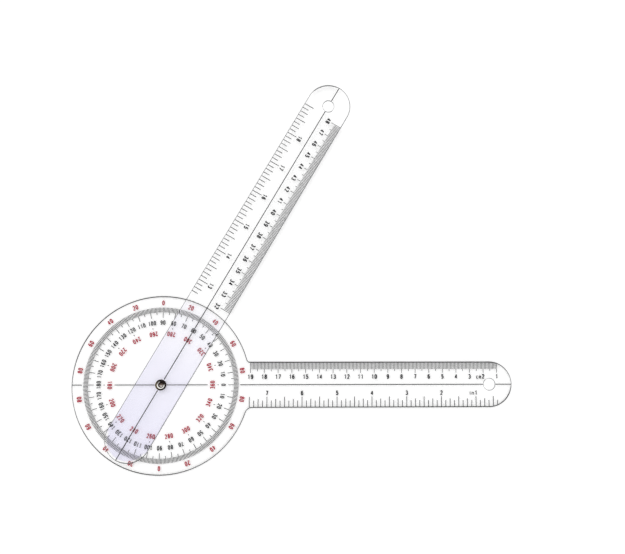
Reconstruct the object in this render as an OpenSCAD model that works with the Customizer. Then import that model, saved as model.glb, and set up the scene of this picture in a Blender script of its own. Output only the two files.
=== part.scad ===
/* [Plates] */
// Radius of the protractor disc
disc_r = 64; // [60:1:80]
// Thickness of the protractor plate
plate_t = 2; // [1.8:0.1:4]
// Thickness of the moving arm
arm_t = 2; // [1.2:0.1:4]
// Width of both arms
arm_w = 33; // [31:1:40]
// Distance from the pivot to the tip of each arm
arm_reach = 255; // [250:1:300]
// How far the end of the moving arm's tail stays inside the disc's edge
tail_inset = 2.5; // [0:0.5:12]
// Diameter of the hole near each tip, to hang the tool from
hang_hole_d = 8.3; // [5:0.1:9]
// Fillet between the disc and the upper edge of the fixed arm
upper_fillet_r = 2; // [1:0.5:8]
// Fillet between the disc and the lower edge of the fixed arm
lower_fillet_r = 5; // [1:0.5:8]
// Angle that the moving arm is set to at rest
rest_angle = 60; // [0:5:355]

/* [Pivot] */
// Diameter of the rivet's shank
shank_d = 5; // [4:0.1:5.6]
// Wall of the shank round its hollow
shank_wall = 0.6; // [0.4:0.05:1]
// Length of the shank that stays solid above the head
shank_solid_l = 1.35; // [0.5:0.05:2]
// How much wider the hollow gets at its mouth, all round
mouth_flare = 0.75; // [0.3:0.05:0.9]
// How far the rolled rim reaches past the shank, all round
rim_overhang = 1.45; // [1.3:0.05:2]
// Height of the rolled rim
rim_h = 1.3; // [0.8:0.1:1.4]
// How far the flat head on the back reaches past the shank, all round
head_overhang = 1.2; // [1:0.1:3]
// Thickness of the flat head
head_t = 0.9; // [0.5:0.1:1.2]
// How far the spacer washer reaches past the shank, all round
washer_overhang = 1.1; // [0.8:0.1:1.2]
// Thickness of the spacer washer between the plates
washer_t = 0.3; // [0.2:0.05:1]
// Gap all round the shank in the moving arm's bore, and between the rim and the arm
running_gap = 0.05; // [0.02:0.01:0.09]
// Gap all round the shank and the head in the parts that stand still
seat_gap = 0.02; // [0.01:0.01:0.05]

/* [Ink] */
// Thickness of the printed ink
ink_t = 0.03; // [0.02:0.01:0.1]
// Width of the long centre lines
line_w = 0.6; // [0.2:0.05:0.7]
// Width of the millimetre marks
mm_mark_w = 0.4; // [0.15:0.01:0.5]
// Width of the inch marks
inch_mark_w = 0.5; // [0.15:0.01:0.6]
// Bare margin between the ink and the edge of a plate
edge_margin = 0.4; // [0.3:0.05:1]

/* [Dial] */
// Distance of the outer red numbers' middle from the disc's edge
quadrant_number_inset = 5; // [4.5:0.1:5.4]
// Height of the outer red numbers
quadrant_number_h = 3.5; // [2.5:0.1:3.8]
// Distance of the ring of degree marks from the disc's edge
ring_inset = 8.3; // [8:0.1:12]
// Length of a one degree mark
degree_mark_l = 3.6; // [2:0.1:4]
// Length of a five degree mark
five_mark_l = 5.3; // [4:0.1:6]
// Length of a ten degree mark
ten_mark_l = 7.5; // [6:0.1:8]
// Width of the degree marks
degree_mark_w = 0.43; // [0.15:0.01:0.45]
// Height of the black numbers
degree_number_h = 3.3; // [2.5:0.1:3.6]
// Height of the inner red numbers
reflex_number_h = 3.4; // [2.5:0.1:3.6]
// Gap between the ten degree marks, the rows of numbers and the dashes between them
row_gap = 1.8; // [1:0.05:2]
// Length of a dash
dash_l = 1; // [0.8:0.1:1.8]
// Width of a dash
dash_w = 0.5; // [0.3:0.05:0.8]
// Gap between the base line and the inner red numbers
base_line_gap = 1.7; // [1:0.1:3]
// Gap between the ring of degree marks and the base line outside it
ring_line_gap = 1; // [0.6:0.1:2]

/* [Rulers] */
// Distance of the fixed arm's zero from its tip
zero_inset = 1; // [0:0.1:4]
// Bare stretch between the fixed arm's zero and the first mark of each scale
zero_clear = 9.5; // [8.5:0.5:12]
// Ruler reading at the pivot for the moving arm's half of the ruler
moving_zero = 251.3; // [248:0.1:256]
// Bare stretch between the disc's edge and the first mark on the moving arm
disc_clear = 4; // [1:0.5:10]
// Length of a millimetre mark, from the edge of the arm
mm_mark_l = 5.5; // [3:0.1:6.5]
// Length of a five millimetre mark, from the edge of the arm
five_mm_mark_l = 6.9; // [4:0.1:7.5]
// Length of a centimetre mark, from the edge of the arm
cm_mark_l = 8.1; // [5:0.1:8.5]
// Length of an eighth of an inch mark, from the edge of the arm
eighth_mark_l = 5.2; // [3:0.1:5.5]
// Length of a quarter inch mark, from the edge of the arm
quarter_mark_l = 6.4; // [4:0.1:7]
// Length of a half inch or inch mark, from the edge of the arm
inch_mark_l = 7.9; // [5:0.1:8.2]
// Height of the centimetre numbers
cm_number_h = 3.4; // [2:0.05:3.4]
// Distance of the centimetre numbers' middle from the edge of the arm
cm_number_inset = 10.8; // [10:0.1:11.5]
// Height of the inch numbers
inch_number_h = 3.4; // [2:0.05:3.4]
// Distance of the inch numbers' middle from the edge of the arm
inch_number_inset = 10.5; // [9.8:0.1:11]
// Height of the unit marks
unit_h = 3; // [2:0.1:3.2]
// Gap between a unit mark and the number beside it
unit_gap = 0.6; // [0.5:0.1:1.5]

/* [Lettering] */
// Width of a ruler's digits and letters as a share of their height
ruler_width_share = 0.54; // [0.53:0.01:0.7]
// Width of the dial's digits, which are narrower, as a share of their height
dial_width_share = 0.48; // [0.47:0.01:0.6]
// Thickness of the stroke of a ruler's digits as a share of their height
ruler_stroke_share = 0.2; // [0.06:0.01:0.2]
// Thickness of the stroke of the dial's digits as a share of their height
dial_stroke_share = 0.17; // [0.06:0.01:0.17]
// Thickness of a letter's stroke as a share of its height
letter_stroke_share = 0.13; // [0.06:0.01:0.14]
// Gap between digits as a share of their height
digit_gap_share = 0.13; // [0.08:0.01:0.3]
// Angle of one step round a curved stroke
stroke_step = 30; // [15:15:30]

/* [Hidden] */

$fn = 96;

// Overrun of every cut past the face that it opens
cut_over = 1;

// Distance between two marks of the metric scale, and the marks in a centimetre
mm_pitch = 1;
marks_per_cm = 10;
// Distance between two numbers of the inch scale, and the marks in an inch
inch_pitch = 25.4;
marks_per_inch = 8;
// The numbers that the unit marks are printed beside
cm_unit_number = 2;
inch_unit_number = 1;

// Colours of the pieces
clear_colour = [0.92, 0.93, 0.97, 0.35];
black_colour = [0.13, 0.13, 0.15];
red_colour = [0.76, 0.12, 0.24];
nickel_colour = [0.55, 0.53, 0.5];
nylon_colour = [0.93, 0.92, 0.88];

// Heights of the stack above the back face
arm_z = plate_t + washer_t;
arm_top_z = arm_z + arm_t;
rim_z = arm_top_z + running_gap;
rim_mid_z = rim_z + rim_h / 2;
rim_top_z = rim_z + rim_h;

// Radii of the rivet and the washer
shank_r = shank_d / 2;
hollow_r = shank_r - shank_wall;
rim_r = shank_r + rim_overhang;
head_r = shank_r + head_overhang;
washer_r = shank_r + washer_overhang;

// The round end of an arm and of the tail
end_r = arm_w / 2;
tip_centre_x = arm_reach - end_r;
tail_reach = disc_r - tail_inset;
tail_centre_x = tail_reach - end_r;

// Radii of the rows of the dial, each row's middle, from the disc's edge inwards
quadrant_number_r = disc_r - quadrant_number_inset;
ring_outer_r = disc_r - ring_inset;
degree_number_r = ring_outer_r - ten_mark_l - row_gap - degree_number_h / 2;
dash_r = degree_number_r - degree_number_h / 2 - row_gap - dash_l / 2;
reflex_number_r = dash_r - dash_l / 2 - row_gap - reflex_number_h / 2;
// Radii at which the base line stops inside the dial and starts again outside the ring
base_line_inner_r = reflex_number_r - reflex_number_h / 2 - base_line_gap;
base_line_outer_r = ring_outer_r + ring_line_gap;

// The two arms are the halves of one ruler, which is drawn straightened, its fixed half towards +X. The
// moving half is turned from there to its place
straight_angle = 180;
fixed_zero = arm_reach - zero_inset;
cm_pitch = mm_pitch * marks_per_cm;
eighth_pitch = inch_pitch / marks_per_inch;
// Readings where the fixed half ends at the disc, where the moving half starts past it and where its round
// end starts
fixed_end_reading = fixed_zero - sqrt(disc_r * disc_r - end_r * end_r);
moving_start_reading = moving_zero + disc_r + disc_clear;
moving_end_reading = moving_zero + tip_centre_x;
// First and last marks and numbers of each half
fixed_first_mm = ceil(zero_clear / mm_pitch);
fixed_first_eighth = ceil(zero_clear / eighth_pitch);
fixed_last_cm = floor(fixed_end_reading / cm_pitch);
moving_first_cm = ceil(moving_start_reading / cm_pitch);
moving_last_cm = floor(moving_end_reading / cm_pitch);
moving_last_inch = floor(moving_end_reading / inch_pitch);

// Half the height of the arm at x, on the straight part or on the round end
function edge_y(x) =
    let(past = abs(x) - tip_centre_x)
    past > 0 ? sqrt(end_r * end_r - past * past) : end_r;

// Outline of a flat bar from one x to another, both ends square
module bar_2d(from_x, to_x, width) {
    translate([from_x, -width / 2]) square([to_x - from_x, width]);
}

// A flat printed bar from one x to another, centred on y = 0
module ink_bar(from_x, to_x, width) {
    translate([from_x, -width / 2, 0]) cube([to_x - from_x, width, ink_t]);
}

// A flat printed bar from one y to another, centred on x
module ink_post(x, from_y, to_y, width) {
    translate([x - width / 2, from_y, 0]) cube([width, to_y - from_y, ink_t]);
}

// Corner piece between the disc and the upper edge of the arm: it fills the notch up to a round fillet
module fillet_2d(radius) {
    centre_y = end_r + radius;
    centre_x = sqrt(pow(disc_r + radius, 2) - pow(centre_y, 2));
    difference() {
        polygon([[0, 0], [centre_x, 0], [centre_x, centre_y]]);
        translate([centre_x, centre_y]) circle(r = radius);
    }
}

// The clear plate that holds the dial and the fixed arm, moulded in one piece
module protractor_plate() {
    color(clear_colour) difference() {
        linear_extrude(plate_t) difference() {
            union() {
                circle(r = disc_r);
                bar_2d(0, tip_centre_x, arm_w);
                translate([tip_centre_x, 0]) circle(r = end_r);
                fillet_2d(upper_fillet_r);
                mirror([0, 1]) fillet_2d(lower_fillet_r);
            }
            translate([tip_centre_x, 0]) circle(d = hang_hole_d);
        }
        translate([0, 0, -cut_over]) cylinder(r = shank_r + seat_gap, h = plate_t + 2 * cut_over);
        translate([0, 0, -cut_over]) cylinder(r = head_r + seat_gap, h = cut_over + head_t);
    }
}

// The clear arm that turns on the rivet, over the disc, with a round tail on the far side of the pivot
module moving_arm() {
    color(clear_colour) rotate(rest_angle) translate([0, 0, arm_z]) linear_extrude(arm_t) difference() {
        union() {
            bar_2d(-tail_centre_x, tip_centre_x, arm_w);
            translate([tip_centre_x, 0]) circle(r = end_r);
            translate([-tail_centre_x, 0]) circle(r = end_r);
        }
        translate([tip_centre_x, 0]) circle(d = hang_hole_d);
        circle(r = shank_r + running_gap);
    }
}

// Half section of the rolled rim: a bead with round sides, from inside the shank's wall outwards
module rim_section() {
    bead_r = rim_h / 2;
    outer_x = rim_r - bead_r;
    translate([shank_r, rim_z]) square([outer_x - shank_r, rim_h]);
    translate([shank_r, rim_mid_z]) circle(r = bead_r);
    translate([outer_x, rim_mid_z]) circle(r = bead_r);
}

// Half section of the hollow: straight in the shank, wider at its mouth in the rim
module hollow_section() {
    floor_z = head_t + shank_solid_l;
    mouth_r = hollow_r + mouth_flare;
    polygon([
        [-cut_over, floor_z],
        [hollow_r, floor_z],
        [hollow_r, arm_top_z],
        [mouth_r, rim_top_z],
        [mouth_r, rim_top_z + cut_over],
        [-cut_over, rim_top_z + cut_over],
    ]);
}

// The semi-tubular rivet: flat head let into the back face, shank, and hollow end rolled over the moving arm
module pivot_rivet() {
    color(nickel_colour) rotate_extrude() difference() {
        union() {
            square([head_r, head_t]);
            square([shank_r, rim_mid_z]);
            rim_section();
        }
        hollow_section();
    }
}

// The thin washer that keeps the two plates apart, hidden under the rim
module spacer_washer() {
    color(nylon_colour) translate([0, 0, plate_t]) difference() {
        cylinder(r = washer_r, h = washer_t);
        translate([0, 0, -cut_over]) cylinder(r = shank_r + seat_gap, h = washer_t + 2 * cut_over);
    }
}

// Strokes of the digits 0 to 9, each digit as its open strokes and then its closed ones. A stroke is a run
// of points and bowls, as shares of the width and height. A bowl is its centre, half width and half height,
// and the angles that it runs from and to
digit_shares = [
    [[], [[[0.5, 0.72, 0.5, 0.28, 0, 180], [0.5, 0.28, 0.5, 0.28, 180, 360]]]],
    [[[[0.2, 0.78], [0.62, 1], [0.62, 0]]], []],
    [[[[0.5, 0.72, 0.5, 0.28, 165, -30], [0, 0], [1, 0]]], []],
    [[[[0.46, 0.76, 0.44, 0.24, 150, -90]], [[0.46, 0.26, 0.54, 0.26, 90, -150]]], []],
    [[[[0.72, 0], [0.72, 1]], [[0.72, 1], [0, 0.28], [1, 0.28]]], []],
    [[[[0.92, 1], [0.14, 1], [0.08, 0.54], [0.46, 0.33, 0.54, 0.33, 90, -150]]], []],
    [[[[0, 0.31], [0.55, 0.62, 0.55, 0.38, 180, 45]]], [[[0.5, 0.31, 0.5, 0.31, 0, 330]]]],
    [[[[0, 1], [1, 1], [0.36, 0]]], []],
    [[], [[[0.5, 0.77, 0.46, 0.23, 0, 330]], [[0.5, 0.27, 0.5, 0.27, 0, 330]]]],
    [[[[1, 0.69], [0.45, 0.38, 0.55, 0.38, 0, -135]]], [[[0.5, 0.69, 0.5, 0.31, 0, 330]]]],
];
// Strokes of the letters of the unit marks, given the same way
letter_c_shares = [[[[0.5, 0.35, 0.5, 0.35, 45, 315]]], []];
letter_m_shares = [
    [
        [[0, 0], [0, 0.7]],
        [[0.25, 0.48, 0.25, 0.22, 180, 0], [0.5, 0]],
        [[0.75, 0.48, 0.25, 0.22, 180, 0], [1, 0]],
    ],
    [],
];
letter_i_shares = [[[[0.5, 0], [0.5, 0.7]], [[0.5, 0.86], [0.5, 1]]], []];
letter_n_shares = [[[[0, 0], [0, 0.7]], [[0.5, 0.42, 0.5, 0.28, 180, 0], [1, 0]]], []];

// Longest corner of a stroke, as a share of its half thickness
mitre_limit_share = 1.45;

// Points of one piece of a stroke: the point itself, or those round a bowl
function piece_points(piece) =
    len(piece) == 2 ? [piece]
    : let(steps = max(1, round(abs(piece[5] - piece[4]) / stroke_step)))
      [for (step = [0:steps])
          let(angle = piece[4] + (piece[5] - piece[4]) * step / steps)
          [piece[0] + piece[2] * cos(angle), piece[1] + piece[3] * sin(angle)]];

// Centre line of a stroke in a box of the given size, with room all round for half the stroke's thickness
function stroke_points(stroke, width, height, thickness) =
    [for (piece = stroke) each [for (point = piece_points(piece))
        [thickness / 2 + point.x * (width - thickness), thickness / 2 + point.y * (height - thickness)]]];

// Direction from one point to the next, and the same turned a quarter to the left
function unit_vector(from_point, to_point) = (to_point - from_point) / norm(to_point - from_point);
function turned_left(vector) = [-vector.y, vector.x];

// Points beside a centre line, to its left by a distance or to its right by a negative one
function beside_points(points, distance, closed) =
    let(count = len(points))
    [for (index = [0:count - 1])
        let(
            before = index > 0 ? points[index - 1] : closed ? points[count - 1] : undef,
            after = index < count - 1 ? points[index + 1] : closed ? points[0] : undef,
            into = is_undef(before)
                ? unit_vector(points[index], after)
                : unit_vector(before, points[index]),
            out_of = is_undef(after) ? into : unit_vector(points[index], after),
            side = turned_left(into) + turned_left(out_of),
            reach_share = min(2 / norm(side), mitre_limit_share)
        )
        points[index] + side / norm(side) * distance * reach_share];

// The list of points from last to first
function reversed(points) = [for (index = [len(points) - 1:-1:0]) points[index]];

// One drawn character in a box of the given width and height, its lower left corner at the origin
module character_2d(shares, width, height, thickness) {
    for (stroke = shares[0]) {
        points = stroke_points(stroke, width, height, thickness);
        polygon(concat(
            beside_points(points, thickness / 2, false),
            reversed(beside_points(points, -thickness / 2, false))
        ));
    }
    for (stroke = shares[1]) {
        points = stroke_points(stroke, width, height, thickness);
        difference() {
            polygon(beside_points(points, -thickness / 2, true));
            polygon(beside_points(points, thickness / 2, true));
        }
    }
}

// The digits of a whole number, first digit first
function digits_of(value) = value < 10 ? [value] : concat(digits_of(floor(value / 10)), [value % 10]);

// The drawn digits of a whole number
function number_run(value) = [for (digit = digits_of(value)) digit_shares[digit]];

// Width of a run of characters of one height
function run_width(count, height, width_share) =
    height * (count * width_share + (count - 1) * digit_gap_share);

// A run of printed characters of one height, its middle at the origin
module ink_run(run, height, width_share, stroke_share) {
    pitch = height * (width_share + digit_gap_share);
    for (index = [0:len(run) - 1])
        translate([index * pitch - run_width(len(run), height, width_share) / 2, -height / 2, 0])
            linear_extrude(ink_t)
                character_2d(run[index], height * width_share, height, height * stroke_share);
}

// A printed whole number of the dial or of a ruler, its middle at the origin
module dial_number(value, height) {
    ink_run(number_run(value), height, dial_width_share, dial_stroke_share);
}

module ruler_number(value, height) {
    ink_run(number_run(value), height, ruler_width_share, ruler_stroke_share);
}

// Puts print on the front of the protractor plate
module on_plate() {
    translate([0, 0, plate_t]) children();
}

// Puts print, drawn on the straightened ruler, on the front of the moving arm at its rest angle
module on_moving_arm() {
    translate([0, 0, arm_top_z]) rotate(rest_angle - straight_angle) children();
}

// The ring of 360 marks: longer every five degrees and longest every ten
module degree_marks() {
    color(black_colour) on_plate() for (degree = [0:359]) {
        mark_l = degree % 10 == 0 ? ten_mark_l : degree % 5 == 0 ? five_mark_l : degree_mark_l;
        rotate(degree) ink_bar(ring_outer_r - mark_l, ring_outer_r, degree_mark_w);
    }
}

// Angles from the base line every ten degrees, rising from 0 to 180 on both sides
module degree_numbers() {
    color(black_colour) on_plate() for (degree = [0:10:350])
        rotate(degree) translate([degree_number_r, 0, 0]) rotate(-90)
            dial_number(min(degree, 360 - degree), degree_number_h);
}

// Dashes between the black and the inner red numbers, every twenty degrees
module reflex_dashes() {
    color(black_colour) on_plate() for (degree = [0:20:340])
        rotate(degree) ink_bar(dash_r - dash_l / 2, dash_r + dash_l / 2, dash_w);
}

// Reflex angles every twenty degrees, which fall from 360 to 180 on both sides and read from the middle
module reflex_numbers() {
    color(red_colour) on_plate() for (degree = [0:20:340])
        rotate(degree) translate([reflex_number_r, 0, 0]) rotate(90)
            dial_number(max(degree, 360 - degree), reflex_number_h);
}

// Angles from the upright, from 0 at the top and the bottom to 80 beside the base line
module quadrant_numbers() {
    color(red_colour) on_plate() for (degree = [10:20:350])
        rotate(degree) translate([quadrant_number_r, 0, 0]) rotate(-90)
            dial_number(abs(90 - degree % 180), quadrant_number_h);
}

// The base line across the dial, broken at the numbers and at the rivet
module dial_base_line() {
    line_start_r = washer_r + edge_margin;
    color(black_colour) on_plate() {
        ink_bar(line_start_r, base_line_inner_r, line_w);
        ink_bar(-base_line_inner_r, -line_start_r, line_w);
        ink_bar(-disc_r + edge_margin, -base_line_outer_r, line_w);
    }
}

// Centre line of an arm from a distance out to its tip, broken at the hole
module arm_line(from_x) {
    hole_clear_r = hang_hole_d / 2 + edge_margin;
    ink_bar(from_x, tip_centre_x - hole_clear_r, line_w);
    ink_bar(tip_centre_x + hole_clear_r, arm_reach - edge_margin, line_w);
}

// The base line where it runs on along the fixed arm
module fixed_arm_line() {
    color(black_colour) on_plate() arm_line(base_line_outer_r);
}

// The centre line of the moving arm, from its tip to the rivet and on to the end of the tail
module moving_arm_line() {
    line_start_r = rim_r + edge_margin;
    color(black_colour) on_moving_arm() {
        mirror([1, 0, 0]) arm_line(line_start_r);
        ink_bar(line_start_r, tail_reach - edge_margin, line_w);
    }
}

// Millimetre marks along the upper edge of the straightened ruler, counted from its zero
module cm_marks(zero_x, first_mark, last_mark) {
    for (mark = [first_mark:last_mark]) {
        mark_l = mark % marks_per_cm == 0 ? cm_mark_l : mark % 5 == 0 ? five_mm_mark_l : mm_mark_l;
        x = zero_x - mark * mm_pitch;
        ink_post(x, end_r - mark_l, edge_y(x) - edge_margin, mm_mark_w);
    }
}

// Centimetre numbers below their marks
module cm_numbers(zero_x, first_cm, last_cm) {
    for (reading = [first_cm:last_cm])
        translate([zero_x - reading * cm_pitch, end_r - cm_number_inset, 0])
            ruler_number(reading, cm_number_h);
}

// Eighths of an inch along the lower edge of the straightened ruler, counted from its zero
module inch_marks(zero_x, first_mark, last_mark) {
    for (mark = [first_mark:last_mark]) {
        mark_l = mark % 4 == 0 ? inch_mark_l : mark % 2 == 0 ? quarter_mark_l : eighth_mark_l;
        x = zero_x - mark * eighth_pitch;
        ink_post(x, -edge_y(x) + edge_margin, -end_r + mark_l, inch_mark_w);
    }
}

// Inch numbers above their marks
module inch_numbers(zero_x, first_inch, last_inch) {
    for (reading = [first_inch:last_inch])
        translate([zero_x - reading * inch_pitch, -end_r + inch_number_inset, 0])
            ruler_number(reading, inch_number_h);
}

// The fixed half of the ruler: marks and numbers of its two scales
module fixed_cm_marks() {
    color(black_colour) on_plate() cm_marks(fixed_zero, fixed_first_mm, fixed_last_cm * marks_per_cm);
}

module fixed_cm_numbers() {
    first_cm = ceil(fixed_first_mm / marks_per_cm);
    color(black_colour) on_plate() cm_numbers(fixed_zero, first_cm, fixed_last_cm);
}

module fixed_inch_marks() {
    color(black_colour) on_plate()
        inch_marks(fixed_zero, fixed_first_eighth, floor(fixed_end_reading / eighth_pitch));
}

module fixed_inch_numbers() {
    first_inch = ceil(fixed_first_eighth / marks_per_inch);
    last_inch = floor(fixed_end_reading / inch_pitch);
    color(black_colour) on_plate() inch_numbers(fixed_zero, first_inch, last_inch);
}

// The unit of a scale, to the left of one of its numbers and on the same foot line
module unit_mark(run, number, pitch, number_y, number_h) {
    number_left_x = fixed_zero - number * pitch - run_width(1, number_h, ruler_width_share) / 2;
    x = number_left_x - unit_gap - run_width(len(run), unit_h, ruler_width_share) / 2;
    translate([x, number_y - (number_h - unit_h) / 2, 0])
        ink_run(run, unit_h, ruler_width_share, letter_stroke_share);
}

module fixed_unit_marks() {
    cm_number_y = end_r - cm_number_inset;
    inch_number_y = -end_r + inch_number_inset;
    color(black_colour) on_plate() {
        unit_mark([letter_c_shares, letter_m_shares], cm_unit_number, cm_pitch, cm_number_y, cm_number_h);
        unit_mark(
            [letter_i_shares, letter_n_shares], inch_unit_number, inch_pitch, inch_number_y, inch_number_h
        );
    }
}

// The moving half of the ruler, which goes on where the fixed half stops when the arms are in line
module moving_cm_marks() {
    color(black_colour) on_moving_arm()
        cm_marks(moving_zero, moving_first_cm * marks_per_cm, moving_last_cm * marks_per_cm);
}

module moving_cm_numbers() {
    color(black_colour) on_moving_arm() cm_numbers(moving_zero, moving_first_cm, moving_last_cm);
}

module moving_inch_marks() {
    first_eighth = ceil(moving_start_reading / eighth_pitch);
    color(black_colour) on_moving_arm()
        inch_marks(moving_zero, first_eighth, moving_last_inch * marks_per_inch);
}

// The last inch mark is near the round end and has no number
module moving_inch_numbers() {
    color(black_colour) on_moving_arm()
        inch_numbers(moving_zero, ceil(moving_start_reading / inch_pitch), moving_last_inch - 1);
}

protractor_plate();
moving_arm();
pivot_rivet();
spacer_washer();
degree_marks();
degree_numbers();
reflex_dashes();
reflex_numbers();
quadrant_numbers();
dial_base_line();
fixed_arm_line();
fixed_cm_marks();
fixed_cm_numbers();
fixed_inch_marks();
fixed_inch_numbers();
fixed_unit_marks();
moving_arm_line();
moving_cm_marks();
moving_cm_numbers();
moving_inch_marks();
moving_inch_numbers();
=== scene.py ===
import math

import bmesh
import bpy
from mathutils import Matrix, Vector


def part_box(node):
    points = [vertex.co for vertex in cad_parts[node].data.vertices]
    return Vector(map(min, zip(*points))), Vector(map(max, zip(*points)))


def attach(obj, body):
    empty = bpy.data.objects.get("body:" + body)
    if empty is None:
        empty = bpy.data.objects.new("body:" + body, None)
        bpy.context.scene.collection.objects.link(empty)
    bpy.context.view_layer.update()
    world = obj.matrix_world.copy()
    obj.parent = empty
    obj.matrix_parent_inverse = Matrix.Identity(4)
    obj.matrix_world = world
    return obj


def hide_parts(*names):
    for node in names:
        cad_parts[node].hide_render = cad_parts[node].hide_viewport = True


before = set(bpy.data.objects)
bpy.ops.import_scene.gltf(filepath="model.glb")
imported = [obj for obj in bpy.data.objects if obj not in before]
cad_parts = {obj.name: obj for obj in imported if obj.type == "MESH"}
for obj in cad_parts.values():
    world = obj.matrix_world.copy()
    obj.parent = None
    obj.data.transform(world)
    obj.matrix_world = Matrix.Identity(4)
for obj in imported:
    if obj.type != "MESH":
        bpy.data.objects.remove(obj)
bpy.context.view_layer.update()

MM = 0.001


# The photographer's place, nearly straight above the tool, which lies flat on a white table. The camera leans
# a few degrees off the upright, and the photograph is a cut-out from the lower left of a wider frame.
photo_width_px = 625
photo_height_px = 554
focal_length_px = 1200
lens_axis_px = (389.3, 179.0)
sensor_width_mm = 36
camera_place = Vector((115.7, 13.59, 889.37)) * MM
camera_tilt_deg = (8.843, -3.184, -0.073)
nearest_seen = 10 * MM
farthest_seen = 10000 * MM

camera_data = bpy.data.cameras.new("photo_camera")
camera_data.sensor_width = sensor_width_mm
camera_data.lens = sensor_width_mm * focal_length_px / photo_width_px
camera_data.shift_x = -(lens_axis_px[0] - photo_width_px / 2) / photo_width_px
camera_data.shift_y = (lens_axis_px[1] - photo_height_px / 2) / photo_width_px
camera_data.clip_start = nearest_seen
camera_data.clip_end = farthest_seen
camera = bpy.data.objects.new("photo_camera", camera_data)
camera.location = camera_place
camera.rotation_euler = [math.radians(angle) for angle in camera_tilt_deg]
bpy.context.scene.collection.objects.link(camera)
bpy.context.scene.camera = camera


# The protractor plate: the disc and the fixed arm, cut in one piece from 2 mm clear sheet. Its faces are
# polished, its cut edges are slightly rounded and grey, the grey partly frosting and partly painted shade
# that is darkest above and below, and the rivet's head is let into its back.
plate_low, plate_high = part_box("protractor_plate")
plate_top = plate_high.z
disc_r = -plate_low.x
arm_reach = plate_high.x
arm_half_w = 16.5 * MM
tip_centre_x = arm_reach - arm_half_w
upper_fillet_r = 2 * MM
lower_fillet_r = 5 * MM
edge_round_r = 0.9 * MM
hole_round_r = 0.5 * MM
edge_round_steps = 5
flat_margin = 0.05 * MM
tip_step_deg = 3
fillet_step_deg = 15
disc_step_deg = 1
hole_step_deg = 6
crease_deg = 35
hang_hole_r = 4.15 * MM
pivot_hole_r = 2.52 * MM
head_recess_r = 3.72 * MM
head_recess_depth = 0.9 * MM


def arc(centre, radius, from_deg, to_deg, step_deg):
    """Points round an arc, each with the direction that leads out of the sheet: away from the centre, or
    towards it where the radius is given as a negative size."""
    steps = max(2, round(abs(to_deg - from_deg) / step_deg))
    points = []
    for step in range(steps + 1):
        angle = math.radians(from_deg + (to_deg - from_deg) * step / steps)
        outwards = Vector((math.cos(angle), math.sin(angle)))
        points.append((Vector(centre) + outwards * abs(radius), outwards * math.copysign(1, radius)))
    return points


def hole(centre, radius):
    """A round hole's rim, as an arc that closes on itself."""
    return arc(centre, -radius, 0, 360, hole_step_deg)[:-1]


def rounded_edge(low_z, high_z, round_r):
    """The section of a cut edge with both corners rounded, as pairs of how far in and how high. It starts and
    ends a little way in on the flat face, so that the face stays flat up to the rounding."""
    section = [(round_r + flat_margin, high_z)]
    for step in range(edge_round_steps + 1):
        angle = math.pi / 2 * step / edge_round_steps
        section.append((round_r * (1 - math.sin(angle)), high_z - round_r * (1 - math.cos(angle))))
    return section + [(inset, low_z + high_z - z) for inset, z in reversed(section)]


def sheet_piece(name, edges):
    """A flat piece of sheet. Each of its edges is a closed run of points with their directions, and the
    section of that edge from the top face down to the bottom face."""
    mesh = bpy.data.meshes.new(name)
    builder = bmesh.new()
    top_edges, bottom_edges = [], []
    for run, section in edges:
        rings = []
        for inset, z in section:
            rings.append([builder.verts.new((*(point - outwards * inset), z)) for point, outwards in run])
        for upper, lower in zip(rings, rings[1:]):
            for index in range(len(run)):
                after = (index + 1) % len(run)
                builder.faces.new((upper[index], lower[index], lower[after], upper[after]))
        for ring, cap in ((rings[0], top_edges), (rings[-1], bottom_edges)):
            cap.extend(builder.edges.get((ring[i - 1], ring[i])) for i in range(len(ring)))
    for cap, up in ((top_edges, 1), (bottom_edges, -1)):
        bmesh.ops.triangle_fill(builder, use_beauty=True, edges=cap, normal=(0, 0, up))
    bmesh.ops.recalc_face_normals(builder, faces=builder.faces)
    for face in builder.faces:
        face.smooth = True
    builder.to_mesh(mesh)
    builder.free()
    mesh.set_sharp_from_angle(angle=math.radians(crease_deg))
    piece = bpy.data.objects.new(name, mesh)
    bpy.context.scene.collection.objects.link(piece)
    return piece


def fillet(radius, side):
    """The fillet between the disc and the arm's upper edge (side 1) or lower edge (side -1), from the arm
    to the disc, and the disc's angle where it ends."""
    rise = arm_half_w + radius
    centre = (math.sqrt((disc_r + radius) ** 2 - rise**2), side * rise)
    end_deg = math.degrees(math.atan2(rise, centre[0]))
    return arc(centre, -radius, -side * 90, -side * (180 - end_deg), fillet_step_deg), end_deg


upper_fillet, upper_end_deg = fillet(upper_fillet_r, 1)
lower_fillet, lower_end_deg = fillet(lower_fillet_r, -1)
plate_outline = (
    arc((tip_centre_x, 0), arm_half_w, -90, 90, tip_step_deg)
    + upper_fillet
    + arc((0, 0), disc_r, upper_end_deg, 360 - lower_end_deg, disc_step_deg)[1:-1]
    + lower_fillet[::-1]
)
pivot_seat = [
    (0, plate_top),
    (0, head_recess_depth),
    (head_recess_r - pivot_hole_r, head_recess_depth),
    (head_recess_r - pivot_hole_r, 0),
]
plate = sheet_piece(
    "clear_protractor_plate",
    [
        (plate_outline, rounded_edge(0, plate_top, edge_round_r)),
        (hole((tip_centre_x, 0), hang_hole_r), rounded_edge(0, plate_top, hole_round_r)),
        (hole((0, 0), pivot_hole_r), pivot_seat),
    ],
)


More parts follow.
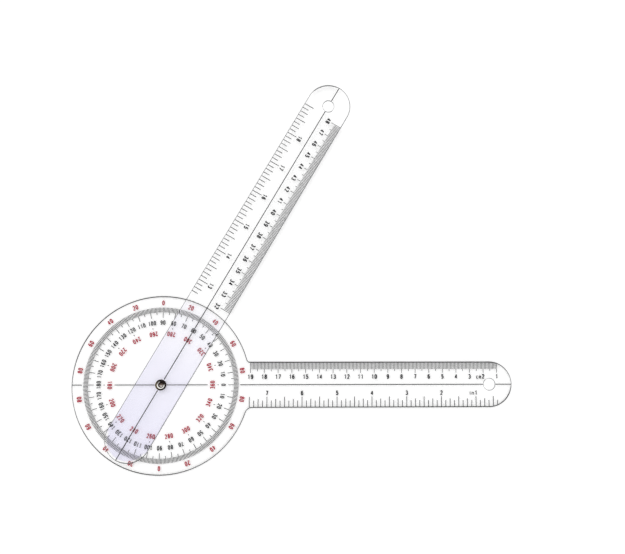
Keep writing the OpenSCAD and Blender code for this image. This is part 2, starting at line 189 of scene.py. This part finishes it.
class Graph:
    """The node graph of a material or of the room, built one node at a time."""

    def __init__(self, owner):
        owner.use_nodes = True
        self.owner = owner
        self.nodes = owner.node_tree.nodes
        self.links = owner.node_tree.links
        self.output, self.shader = sorted(self.nodes, key=lambda node: len(node.outputs))

    def node(self, kind, inputs=None, **settings):
        """Adds a node with its settings, and feeds its inputs."""
        made = self.nodes.new("ShaderNode" + kind)
        for setting, value in settings.items():
            setattr(made, setting, value)
        for socket, value in (inputs or {}).items():
            self.feed(made.inputs[socket], value)
        return made

    def feed(self, socket, value):
        """Gives a socket a plain value or another node's output."""
        if isinstance(value, bpy.types.NodeSocket):
            self.links.new(value, socket)
        else:
            socket.default_value = value

    def math(self, operation, *values):
        """One step of arithmetic."""
        made = self.node("Math", operation=operation)
        for index, value in enumerate(values):
            self.feed(made.inputs[index], value)
        return made.outputs[0]

    def ramp(self, value, from_low, from_high, to_low, to_high):
        """A soft step from one level to another while the value rises."""
        made = self.node("MapRange", interpolation_type="SMOOTHSTEP")
        for index, item in enumerate((value, from_low, from_high, to_low, to_high)):
            self.feed(made.inputs[index], item)
        return made.outputs[0]

    def blend(self, share, first, second):
        """The first colour, with a share of the second in its place."""
        made = self.node("Mix", data_type="RGBA")
        self.feed(made.inputs["Factor"], share)
        self.feed(made.inputs["A"], first)
        self.feed(made.inputs["B"], second)
        return made.outputs["Result"]

    def roughen(self, height, strength, distance):
        """Gives the surface a fine relief."""
        bump = self.node("Bump", {"Strength": strength, "Distance": distance, "Height": height})
        self.feed(self.shader.inputs["Normal"], bump.outputs[0])


def distance(graph, place, point):
    """How far a place is from a point."""
    return graph.node("VectorMath", {0: place, 1: point}, operation="DISTANCE").outputs["Value"]


def level_part(graph, vector):
    """A vector without its height."""
    return graph.node("VectorMath", {0: vector, 1: (1, 1, 0)}, operation="MULTIPLY").outputs[0]


def level_direction(graph, vector):
    """The way that a vector points, seen from above."""
    return graph.node("VectorMath", {0: level_part(graph, vector)}, operation="NORMALIZE").outputs[0]


def level_distance(graph, place):
    """How far a place is from the pivot's axis."""
    return graph.node("VectorMath", {0: level_part(graph, place)}, operation="LENGTH").outputs["Value"]


def towards(graph, vector, direction_deg):
    """How far a vector leads in a level direction. For two directions this is 1 where they are the same and
    -1 where they are opposite."""
    direction = (math.cos(math.radians(direction_deg)), math.sin(math.radians(direction_deg)), 0)
    return graph.node("VectorMath", {0: vector, 1: direction}, operation="DOT_PRODUCT").outputs["Value"]


# lilac is the colour of a painted shadow, which the moving arm shows where it lies over the disc.
lilac = (0.812, 0.8, 0.915, 1)
untinted = (1, 1, 1, 1)
# The greys of the cut are partly frosting and partly painted shade.
side_grey = (0.55, 0.56, 0.57, 1)
side_slope = (0.1, 0.45)
narrow_cut_slope = (0.85, 0.97)
wide_cut_slope = (0.97, 0.998)
hole_grey = (0.25, 0.25, 0.26, 1)
light_through_hole_edge = (0.9, 0.9, 0.9, 1)
light_through_pale_cut = (0.8, 0.8, 0.81, 1)
light_through_dark_cut = (0.2, 0.2, 0.205, 1)
hole_reach = (4.5 * MM, 5 * MM)
cut_coolness = 1.03
clear_sheet_ior = 1.49
cut_roughness = 0.3
worn_roughness = 0.02
worn_from, worn_to = 0.62, 0.72
palest_saw_mark = 0.9
middle_of_noise = (0.3, 0.7)
saw_mark_scale = (900, 900, 60)
saw_mark_depth = 0.02 * MM
saw_mark_strength = 0.15
hairline_scale = (40, 2600, 1)
hairline_turn = (0, 0, 0.6)


def clear_plastic(name, painted_lilac_share, painted_edge_shade, cut_greys, cut_clearness, hole_centre):
    """Clear sheet: it shows what lies behind it, is grey and frosted where it is cut, and has faint
    hairlines from use. The cut's grey is partly frosting and partly painted shade. painted_lilac_share is a
    function that gives how much painted lilac shadow the sheet shows at a place, or None. painted_edge_shade
    gives how dark and wide the painted shade on its cut edge is from the way that it faces, from the first of
    cut_greys to the second, and the cut lets less light through on that side. The cut edge lets cut_clearness
    of the light through, and is lighter in the hang hole."""
    graph = Graph(bpy.data.materials.new(name))
    coordinates = graph.node("TexCoord").outputs
    place, normal = coordinates["Object"], coordinates["Normal"]
    # dark is the painted shade on the cut edge, from the way that it faces: it widens and darkens the grey
    # band.
    dark = painted_edge_shade(graph, level_direction(graph, normal))
    slope = graph.math("ABSOLUTE", graph.node("SeparateXYZ", {"Vector": normal}).outputs["Z"])
    cut_from, cut_to = (
        graph.ramp(dark, 0, 1, narrow, wide) for narrow, wide in zip(narrow_cut_slope, wide_cut_slope)
    )
    cut = graph.ramp(slope, cut_from, cut_to, 1.0, 0.0)
    outside = graph.ramp(distance(graph, place, hole_centre), *hole_reach, 0.0, 1.0)

    saw_map = graph.node("Mapping", {"Vector": place, "Scale": saw_mark_scale}).outputs[0]
    saw = graph.node("TexNoise", {"Vector": saw_map, "Scale": 1.0, "Detail": 3.0}).outputs["Fac"]
    hairline_inputs = {"Vector": place, "Rotation": hairline_turn, "Scale": hairline_scale}
    hairline_map = graph.node("Mapping", hairline_inputs).outputs[0]
    hairlines = graph.node("TexNoise", {"Vector": hairline_map, "Scale": 1.0, "Detail": 2.0}).outputs["Fac"]
    worn = graph.ramp(hairlines, worn_from, worn_to, 0.0, 1.0)

    # tint is the painted lilac shadow.
    tint = graph.blend(painted_lilac_share(graph, place), untinted, lilac) if painted_lilac_share else untinted
    # The cut's colour: frosting grey with painted shade, darker where dark is high.
    light_cut, dark_cut = ((grey, grey, grey * cut_coolness, 1) for grey in cut_greys)
    sawn = graph.math("MULTIPLY", dark, graph.ramp(saw, *middle_of_noise, palest_saw_mark, 1.0))
    rounding = graph.blend(outside, hole_grey, graph.blend(sawn, light_cut, dark_cut))
    cut_colour = graph.blend(graph.ramp(slope, *side_slope, 1.0, 0.0), rounding, side_grey)
    roughness = graph.math(
        "ADD", graph.ramp(cut, 0, 1, 0.0, cut_roughness), graph.math("MULTIPLY", worn, worn_roughness)
    )
    graph.feed(graph.shader.inputs["Base Color"], graph.blend(cut, tint, cut_colour))
    graph.feed(graph.shader.inputs["Transmission Weight"], graph.ramp(cut, 0, 1, 1.0, cut_clearness))
    graph.feed(graph.shader.inputs["Roughness"], roughness)
    graph.shader.inputs["IOR"].default_value = clear_sheet_ior
    graph.roughen(graph.math("MULTIPLY", saw, cut), saw_mark_strength, saw_mark_depth)

    path = graph.node("LightPath").outputs
    lighting = graph.math("MAXIMUM", path["Is Shadow Ray"], path["Is Diffuse Ray"])
    through_cut = graph.blend(dark, light_through_pale_cut, light_through_dark_cut)
    through_edge = graph.blend(outside, light_through_hole_edge, through_cut)
    clear = graph.node("BsdfTransparent", {"Color": graph.blend(cut, untinted, through_edge)})
    mix = graph.node("MixShader", {"Fac": lighting})
    graph.links.new(graph.shader.outputs[0], mix.inputs[1])
    graph.links.new(clear.outputs[0], mix.inputs[2])
    graph.links.new(mix.outputs[0], graph.output.inputs["Surface"])
    return graph.owner


# Where the plate's cut edge shows painted shade: darkest at the top and upper left, and below.
top_of_the_outline_deg = 120
foot_of_the_outline_deg = 245
foot_darkness = 0.76
outline_darkening = (0.1, 1.0)


def painted_shade_above_and_below(graph, facing):
    """Painted shade on the cut edge: darkest above and to the upper left, nearly as dark below, and lightest
    at the disc's two sides.
    """
    above = towards(graph, facing, top_of_the_outline_deg)
    below = graph.math("MULTIPLY", towards(graph, facing, foot_of_the_outline_deg), foot_darkness)
    return graph.ramp(graph.math("MAXIMUM", above, below), *outline_darkening, 0.0, 1.0)


plate_cut_greys = (0.05, 0.01)
plate_cut_clearness = 0.1
plate_hole_centre = (tip_centre_x, 0, plate_top / 2)
plate_plastic = clear_plastic(
    "clear_plate_plastic",
    None,
    painted_shade_above_and_below,
    plate_cut_greys,
    plate_cut_clearness,
    plate_hole_centre,
)
plate.data.materials.append(plate_plastic)
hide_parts("protractor_plate")
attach(plate, "protractor")


# The print on the plate's front: the dial and the fixed arm's two scales, screen printed in black, then the
# reflex and quadrant numbers in red. The ink is a thin satin film, a little uneven where the screen was dry.
mottle_scale = 1400.0
weave_scale = 9000.0
weave_depth = 0.004 * MM
weave_strength = 0.2
ink_shine = 0.25
ink_roughness = (0.5, 0.65)
thin_film = (0.5, 0.75)
black_full, black_thin = (0.012, 0.012, 0.014, 1), (0.035, 0.035, 0.04, 1)
red_full, red_thin = (0.42, 0.005, 0.03, 1), (0.48, 0.018, 0.055, 1)
ruler_run_out = 0.07 * MM
dial_run_out = 0.05 * MM
joined_film = 0.001 * MM
black_print = (
    "degree_marks",
    "degree_numbers",
    "reflex_dashes",
    "dial_base_line",
    "fixed_arm_line",
    "fixed_cm_marks",
    "fixed_cm_numbers",
    "fixed_inch_marks",
    "fixed_inch_numbers",
    "fixed_unit_marks",
)
red_print = ("reflex_numbers", "quadrant_numbers")


def printed_ink(name, full_colour, thin_colour):
    """Screen printing ink, with a fine mottle where the film is thinner and the screen's weave in it."""
    graph = Graph(bpy.data.materials.new(name))
    place = graph.node("TexCoord").outputs["Object"]
    mottle = graph.node("TexNoise", {"Vector": place, "Scale": mottle_scale, "Detail": 4.0}).outputs["Fac"]
    weave = graph.node("TexVoronoi", {"Vector": place, "Scale": weave_scale}).outputs["Distance"]
    thin = graph.ramp(mottle, *thin_film, 0.0, 1.0)
    graph.feed(graph.shader.inputs["Base Color"], graph.blend(thin, full_colour, thin_colour))
    graph.feed(graph.shader.inputs["Roughness"], graph.ramp(mottle, *middle_of_noise, *ink_roughness))
    graph.shader.inputs["Specular IOR Level"].default_value = ink_shine
    graph.roughen(weave, weave_strength, weave_depth)
    return graph.owner


def finish_node(name, material):
    """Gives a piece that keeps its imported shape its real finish."""
    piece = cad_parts[name]
    piece.data.materials.clear()
    piece.data.materials.append(material)


def run_out(name, spread):
    """Lets the ink of numbers and units run out a little past the screen's openings, as real ink does."""
    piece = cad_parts[name]
    piece.modifiers.new("one_film", "WELD").merge_threshold = joined_film
    spreading = piece.modifiers.new("ink_run_out", "DISPLACE")
    spreading.mid_level = 0
    spreading.strength = spread


black_ink = printed_ink("black_ink", black_full, black_thin)
red_ink = printed_ink("red_ink", red_full, red_thin)
for name in black_print:
    finish_node(name, black_ink)
for name in red_print:
    finish_node(name, red_ink)
for name in (*red_print, "fixed_cm_numbers", "fixed_inch_numbers", "fixed_unit_marks"):
    run_out(name, ruler_run_out)
run_out("degree_numbers", dial_run_out)


# The spacer washer between the plates: thin natural nylon, punched out and slipped over the rivet. It keeps
# the two printed faces from rubbing.
nylon_cream, nylon_white = (0.86, 0.85, 0.8, 1), (0.93, 0.92, 0.88, 1)
nylon_cloud_scale = 700.0
nylon_grain_depth = 0.01 * MM
nylon_grain_strength = 0.2
nylon_glow = 0.1
nylon_roughness = (0.45, 0.6)


def natural_nylon():
    """Cream white, cloudy and slightly waxy."""
    graph = Graph(bpy.data.materials.new("natural_nylon"))
    place = graph.node("TexCoord").outputs["Object"]
    noise = graph.node("TexNoise", {"Vector": place, "Scale": nylon_cloud_scale, "Detail": 3.0})
    cloud = noise.outputs["Fac"]
    graph.feed(graph.shader.inputs["Base Color"], graph.blend(cloud, nylon_cream, nylon_white))
    graph.feed(graph.shader.inputs["Roughness"], graph.ramp(cloud, *middle_of_noise, *nylon_roughness))
    graph.shader.inputs["Subsurface Weight"].default_value = nylon_glow
    graph.roughen(cloud, nylon_grain_strength, nylon_grain_depth)
    return graph.owner


finish_node("spacer_washer", natural_nylon())


# The moving arm: a straight strip of the same clear sheet with two round ends, a hole to hang it from and a
# bore for the rivet. Where it lies over the disc, it carries a painted lilac shadow.
arm_low, arm_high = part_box("moving_arm")
arm_angle_deg = 60
arm_direction = Vector((math.cos(math.radians(arm_angle_deg)), math.sin(math.radians(arm_angle_deg))))
tail_reach = disc_r - 2.5 * MM
tail_centre = -arm_direction * (tail_reach - arm_half_w)
arm_tip_centre = arm_direction * tip_centre_x
arm_bore_r = 2.55 * MM

arm_tip = arc(arm_tip_centre, arm_half_w, arm_angle_deg - 90, arm_angle_deg + 90, tip_step_deg)
arm_tail = arc(tail_centre, arm_half_w, arm_angle_deg + 90, arm_angle_deg + 270, tip_step_deg)
arm = sheet_piece(
    "clear_moving_arm",
    [
        (arm_tip + arm_tail, rounded_edge(arm_low.z, arm_high.z, edge_round_r)),
        (hole(arm_tip_centre, hang_hole_r), rounded_edge(arm_low.z, arm_high.z, hole_round_r)),
        (hole((0, 0), arm_bore_r), [(0, arm_high.z), (0, arm_low.z)]),
    ],
)


# How much painted lilac shadow the moving arm shows along its length.
tail_lilac, rivet_lilac, disc_edge_lilac = 1.0, 0.82, 0.3
tail_lilac_at, rivet_lilac_at, disc_edge_lilac_at = -40 * MM, 5 * MM, 60 * MM
disc_edge_fade = 3 * MM
clear_rim = (2.2 * MM, 1.2 * MM)
tail_round_end = arm_half_w - tail_reach
tail_round_fade = 4 * MM


def painted_lilac_shadow_over_the_disc(graph, place):
    """How much painted lilac shadow the arm shows: full near the tail's rim, a little less at the rivet, then
    fading towards the disc's edge, and none along the tail's round rim.
    """
    along = towards(graph, place, arm_angle_deg)
    inside = graph.ramp(level_distance(graph, place), disc_r - disc_edge_fade, disc_r, 1.0, 0.0)
    deeper = graph.ramp(along, tail_lilac_at, rivet_lilac_at, tail_lilac - rivet_lilac, 0.0)
    paler = graph.ramp(along, rivet_lilac_at, disc_edge_lilac_at, rivet_lilac, disc_edge_lilac)
    from_tail = distance(graph, place, (*tail_centre, arm_high.z))
    in_the_round = graph.ramp(from_tail, arm_half_w - clear_rim[0], arm_half_w - clear_rim[1], 1.0, 0.0)
    past_the_round = graph.ramp(along, tail_round_end - tail_round_fade, tail_round_end, 0.0, 1.0)
    off_rim = graph.math("MAXIMUM", in_the_round, past_the_round)
    return graph.math("MULTIPLY", graph.math("MULTIPLY", inside, graph.math("ADD", deeper, paler)), off_rim)


# Where the moving arm's cut edge shows painted shade: darkest below the tail's round end.
dark_side_of_the_tail_deg = 280
tail_darkening = (0.6, 1.0)


def painted_shade_at_the_tail(graph, facing):
    """Painted shade on the cut edge: darkest below the tail's round end, and lightest on the arm's upper side
    and at its tip.
    """
    return graph.ramp(towards(graph, facing, dark_side_of_the_tail_deg), *tail_darkening, 0.0, 1.0)


arm_cut_greys = (0.2, 0.14)
arm_cut_clearness = 0.25
arm_hole_centre = (*arm_tip_centre, (arm_low.z + arm_high.z) / 2)
arm_plastic = clear_plastic(
    "clear_arm_plastic",
    painted_lilac_shadow_over_the_disc,
    painted_shade_at_the_tail,
    arm_cut_greys,
    arm_cut_clearness,
    arm_hole_centre,
)
arm.data.materials.append(arm_plastic)
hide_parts("moving_arm")
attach(arm, "arm")


# The print on the moving arm: its centre line and the second half of both ruler scales, in the same black
# ink, printed before the arm was cut out.
moving_numbers = ("moving_cm_numbers", "moving_inch_numbers")

for name in ("moving_arm_line", "moving_cm_marks", "moving_inch_marks", *moving_numbers):
    finish_node(name, black_ink)
for name in moving_numbers:
    run_out(name, ruler_run_out)


# The pivot rivet: semi-tubular brass, nickel plated. Its flat head sits in the plate's back, and its hollow
# end is rolled over the moving arm by the setting tool, which leaves a round rim with a deep cup in it.
rivet_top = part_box("pivot_rivet")[1].z
rim_foot = rivet_top - 1.3 * MM
rim_r = 3.95 * MM
mouth_r = 2.75 * MM
mouth_z = rivet_top - 0.55 * MM
cup_r = 1.9 * MM
flank_foot = rivet_top - 1.0 * MM
cup_floor = 2.25 * MM
cup_dome = 0.35 * MM
shank_r = 2.5 * MM
head_r = 3.7 * MM
head_top = 0.9 * MM
head_corner = 0.15 * MM
cup_corner = 0.1 * MM


def turned_piece(name, profile, segments=96):
    """A round piece, made by turning a profile of distances from the axis and heights about the pivot."""
    mesh = bpy.data.meshes.new(name)
    builder = bmesh.new()
    rings = []
    for radius, z in profile:
        ring = []
        for index in range(segments if radius > 0 else 1):
            turn = 2 * math.pi * index / segments
            ring.append(builder.verts.new((radius * math.cos(turn), radius * math.sin(turn), z)))
        rings.append(ring)
    for ring, next_ring in zip(rings, rings[1:]):
        for index in range(segments):
            after = (index + 1) % segments
            corners = [ring[index % len(ring)], ring[after % len(ring)]]
            corners += [next_ring[after % len(next_ring)], next_ring[index % len(next_ring)]]
            builder.faces.new(list(dict.fromkeys(corners)))
    bmesh.ops.recalc_face_normals(builder, faces=builder.faces)
    for face in builder.faces:
        face.smooth = True
    builder.to_mesh(mesh)
    builder.free()
    mesh.set_sharp_from_angle(angle=math.radians(crease_deg))
    piece = bpy.data.objects.new(name, mesh)
    bpy.context.scene.collection.objects.link(piece)
    return piece


def bow(centre_r, centre_z, half_w, half_h, from_deg, to_deg, steps=12):
    """A curved stretch of a profile: part of an ellipse, its angles counted from straight outwards."""
    turns = [math.radians(from_deg + (to_deg - from_deg) * step / steps) for step in range(steps + 1)]
    return [(centre_r + half_w * math.cos(turn), centre_z + half_h * math.sin(turn)) for turn in turns]


crest_r = 3.3 * MM
crest_half_h = (rivet_top - rim_foot) / 2
rim_centre_z = rivet_top - crest_half_h
rivet_profile = (
    [(0, 0), (head_r - head_corner, 0)]
    + bow(head_r - head_corner, head_corner, head_corner, head_corner, -90, 0, 4)
    + [(head_r, head_top), (shank_r, head_top), (shank_r, rim_foot)]
    + bow(crest_r, rim_centre_z, rim_r - crest_r, crest_half_h, -90, 90, 16)
    + bow(crest_r, mouth_z, crest_r - mouth_r, rivet_top - mouth_z, 90, 180)[1:]
    + [(cup_r + cup_corner, flank_foot), (cup_r, flank_foot - cup_corner), (cup_r, cup_floor + cup_dome)]
    + bow(0, cup_floor + cup_dome, cup_r, cup_dome, 0, -90, 8)[1:-1]
    + [(0, cup_floor)]
)
rivet = turned_piece("rolled_pivot_rivet", rivet_profile)


# dull_dark and dull_light make the rim nearly black: dull plating with painted dark reflection. bright_dark
# and bright_light are the painted highlight, floor_painted_reflection the painted reflection on the floor and
# painted_hollow_shade the painted shade in the hollow.
dull_dark, dull_light = (0.012, 0.009, 0.008, 1), (0.04, 0.031, 0.027, 1)
bright_dark, bright_light = (0.86, 0.84, 0.79, 1), (0.94, 0.925, 0.89, 1)
plain_dark, plain_light = (0.42, 0.4, 0.36, 1), (0.5, 0.48, 0.44, 1)
brass = (0.17, 0.135, 0.08, 1)
floor_brown, floor_painted_reflection = (0.15, 0.11, 0.09, 1), (0.8, 0.76, 0.72, 1)
painted_hollow_shade = (0.03, 0.022, 0.018, 1)
brassy_side_deg = 190
painted_highlight_side_deg = 255
painted_glint_side_deg = 130
brassy_reach = (0.3, 1.0)
painted_highlight_reach = (-0.55, -0.1)
painted_glint_reach = (0.88, 0.98)
painted_glint_share = 0.7
brown_floor_y, grey_floor_y = -1.4 * MM, 0.3 * MM
floor_edge_r = (1.2 * MM, 1.4 * MM)
mouth_blend_r = (mouth_r - 0.05 * MM, mouth_r + 0.1 * MM)
flank_blend_z = (flank_foot - 0.08 * MM, flank_foot)
head_blend_z = (head_top, head_top + 0.2 * MM)
metal_cloud_scale = 900.0
metal_roughness = (0.16, 0.28)
tool_mark_scale = 60000.0
tool_mark_depth = 0.004 * MM
tool_mark_strength = 0.1


def rivet_metal():
    """Nickel over brass. The rolled rim is nearly black, partly dull plating and partly painted dark
    reflection, and it is lighter and browner towards the left. The flank inside it carries a painted
    highlight from the left round the bottom to the right, and a small painted highlight at the upper left.
    The dark ring round the hollow's floor is painted shade, the floor is brown with a painted reflection
    towards its lower side, and the head on the back is plain."""
    graph = Graph(bpy.data.materials.new("nickel_plate"))
    place = graph.node("TexCoord").outputs["Object"]
    axes = graph.node("SeparateXYZ", {"Vector": place}).outputs
    from_axis = level_distance(graph, place)
    outwards = level_direction(graph, place)
    noise = graph.node("TexNoise", {"Vector": place, "Scale": metal_cloud_scale, "Detail": 4.0})
    cloud = noise.outputs["Fac"]

    # The rim's near-black is dull plating with painted dark reflection; it is lighter and browner towards the
    # left.
    dull = graph.blend(cloud, dull_dark, dull_light)
    brassy = graph.ramp(towards(graph, outwards, brassy_side_deg), *brassy_reach, 0.0, 1.0)
    tarnish_and_painted_dark_reflection = graph.blend(brassy, dull, brass)
    # A painted highlight on the flank from the left round the bottom to the right, and a small one at the
    # upper left.
    painted_highlight = graph.ramp(towards(graph, outwards, painted_highlight_side_deg), *painted_highlight_reach, 0.0, 1.0)
    painted_glint = graph.ramp(towards(graph, outwards, painted_glint_side_deg), *painted_glint_reach, 0.0, painted_glint_share)
    bright = graph.blend(cloud, bright_dark, bright_light)
    flank_with_painted_highlight = graph.blend(graph.math("MAXIMUM", painted_highlight, painted_glint), dull, bright)
    # The floor is lighter towards its lower side, a painted reflection, and the ring round it is painted
    # shade.
    floor = graph.blend(graph.ramp(axes["Y"], brown_floor_y, grey_floor_y, 1.0, 0.0), floor_brown, floor_painted_reflection)
    hollow = graph.blend(graph.ramp(from_axis, *floor_edge_r, 0.0, 1.0), floor, painted_hollow_shade)
    inside = graph.blend(graph.ramp(axes["Z"], *flank_blend_z, 0.0, 1.0), hollow, flank_with_painted_highlight)
    front = graph.blend(graph.ramp(from_axis, *mouth_blend_r, 0.0, 1.0), inside, tarnish_and_painted_dark_reflection)
    plain = graph.blend(cloud, plain_dark, plain_light)
    colour = graph.blend(graph.ramp(axes["Z"], *head_blend_z, 0.0, 1.0), plain, front)

    graph.feed(graph.shader.inputs["Base Color"], colour)
    graph.feed(graph.shader.inputs["Roughness"], graph.ramp(cloud, *middle_of_noise, *metal_roughness))
    graph.shader.inputs["Metallic"].default_value = 1.0
    tool_marks = graph.math("SINE", graph.math("MULTIPLY", from_axis, tool_mark_scale))
    graph.roughen(tool_marks, tool_mark_strength, tool_mark_depth)
    return graph.owner


rivet.data.materials.append(rivet_metal())
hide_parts("pivot_rivet")
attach(rivet, "protractor")


# The white table that the tool was photographed on. It is lit as any white table is and takes the tool's soft
# shadow, and what the camera sees of it is lifted to the photograph's white.
table_half_size = 3000 * MM
table_gap = 0.05 * MM
table_white = (0.85, 0.85, 0.85, 1)
table_roughness = 0.9
table_lift = 0.27

table_mesh = bpy.data.meshes.new("white_table")
table_corners = [(-1, -1), (1, -1), (1, 1), (-1, 1)]
table_mesh.from_pydata(
    [(x * table_half_size, y * table_half_size, -table_gap) for x, y in table_corners], [], [(0, 1, 2, 3)]
)
table = bpy.data.objects.new("white_table", table_mesh)
bpy.context.scene.collection.objects.link(table)


def seen_share(graph):
    """1 for rays that the camera sees, straight or by way of metal or clear plastic, and 0 for the others."""
    path = graph.node("LightPath").outputs
    by_way_of_the_tool = graph.math("MAXIMUM", path["Is Glossy Ray"], path["Is Transmission Ray"])
    return graph.math("MAXIMUM", path["Is Camera Ray"], by_way_of_the_tool)


def white_table_top():
    """Matt white, lifted by a little light of its own where it is seen."""
    graph = Graph(bpy.data.materials.new("white_table"))
    graph.shader.inputs["Base Color"].default_value = table_white
    graph.shader.inputs["Roughness"].default_value = table_roughness
    graph.shader.inputs["Specular IOR Level"].default_value = 0.0
    lift = graph.node("Emission", {"Color": (1, 1, 1, 1)})
    graph.feed(lift.inputs["Strength"], graph.math("MULTIPLY", seen_share(graph), table_lift))
    both = graph.node("AddShader")
    graph.links.new(graph.shader.outputs[0], both.inputs[0])
    graph.links.new(lift.outputs[0], both.inputs[1])
    graph.links.new(both.outputs[0], graph.output.inputs["Surface"])
    return graph.owner


table.data.materials.append(white_table_top())


# The studio's light: a white room that is brightest overhead, and one soft lamp high at the upper left, which
# throws the faint shadow to the lower right and is screened off from what shines. What shines shows the room,
# with a dark screen over the photographer's side.
lamp_direction = Vector((-0.35, 0.45, 1.0))
lamp_strength = 0.45
lamp_width_deg = 35
wall_level = 0.35
ceiling_level = 1.45
ceiling_from, ceiling_to = 0.5, 1.0
dark_screen_level = 0.1
screen_far_edge = (-0.4, 0.0)
screen_lower_edge = (0.35, 0.5)

lamp_data = bpy.data.lights.new("soft_lamp", "SUN")
lamp_data.energy = lamp_strength
lamp_data.angle = math.radians(lamp_width_deg)
lamp = bpy.data.objects.new("soft_lamp", lamp_data)
lamp.rotation_euler = lamp_direction.to_track_quat("Z", "Y").to_euler()
lamp.visible_glossy = False
bpy.context.scene.collection.objects.link(lamp)


def white_room():
    """Brightest overhead as a light, plain white where it is seen, and with a dark screen in what shines."""
    graph = Graph(bpy.data.worlds.new("white_room"))
    direction = graph.node("TexCoord").outputs["Generated"]
    axes = graph.node("SeparateXYZ", {"Vector": direction}).outputs
    beyond_the_screen = graph.ramp(axes["Y"], *screen_far_edge, dark_screen_level, 1.0)
    under_the_screen = graph.ramp(axes["Z"], *screen_lower_edge, 1.0, dark_screen_level)
    mirrored = graph.math("MAXIMUM", beyond_the_screen, under_the_screen)
    lighting = graph.ramp(axes["Z"], ceiling_from, ceiling_to, wall_level, ceiling_level)
    seen = graph.node("MapRange", {"Value": seen_share(graph), "To Min": lighting, "To Max": 1.0})
    path = graph.node("LightPath").outputs
    by_mirroring = graph.math("SUBTRACT", path["Is Glossy Ray"], path["Is Transmission Ray"])
    sides = {"Factor": by_mirroring, "A": seen.outputs[0], "B": mirrored}
    level = graph.node("Mix", sides, data_type="FLOAT")
    graph.shader.inputs["Color"].default_value = (1, 1, 1, 1)
    graph.feed(graph.shader.inputs["Strength"], level.outputs["Result"])
    return graph.owner


bpy.context.scene.world = white_room()

bpy.context.scene.view_settings.view_transform = "Standard"
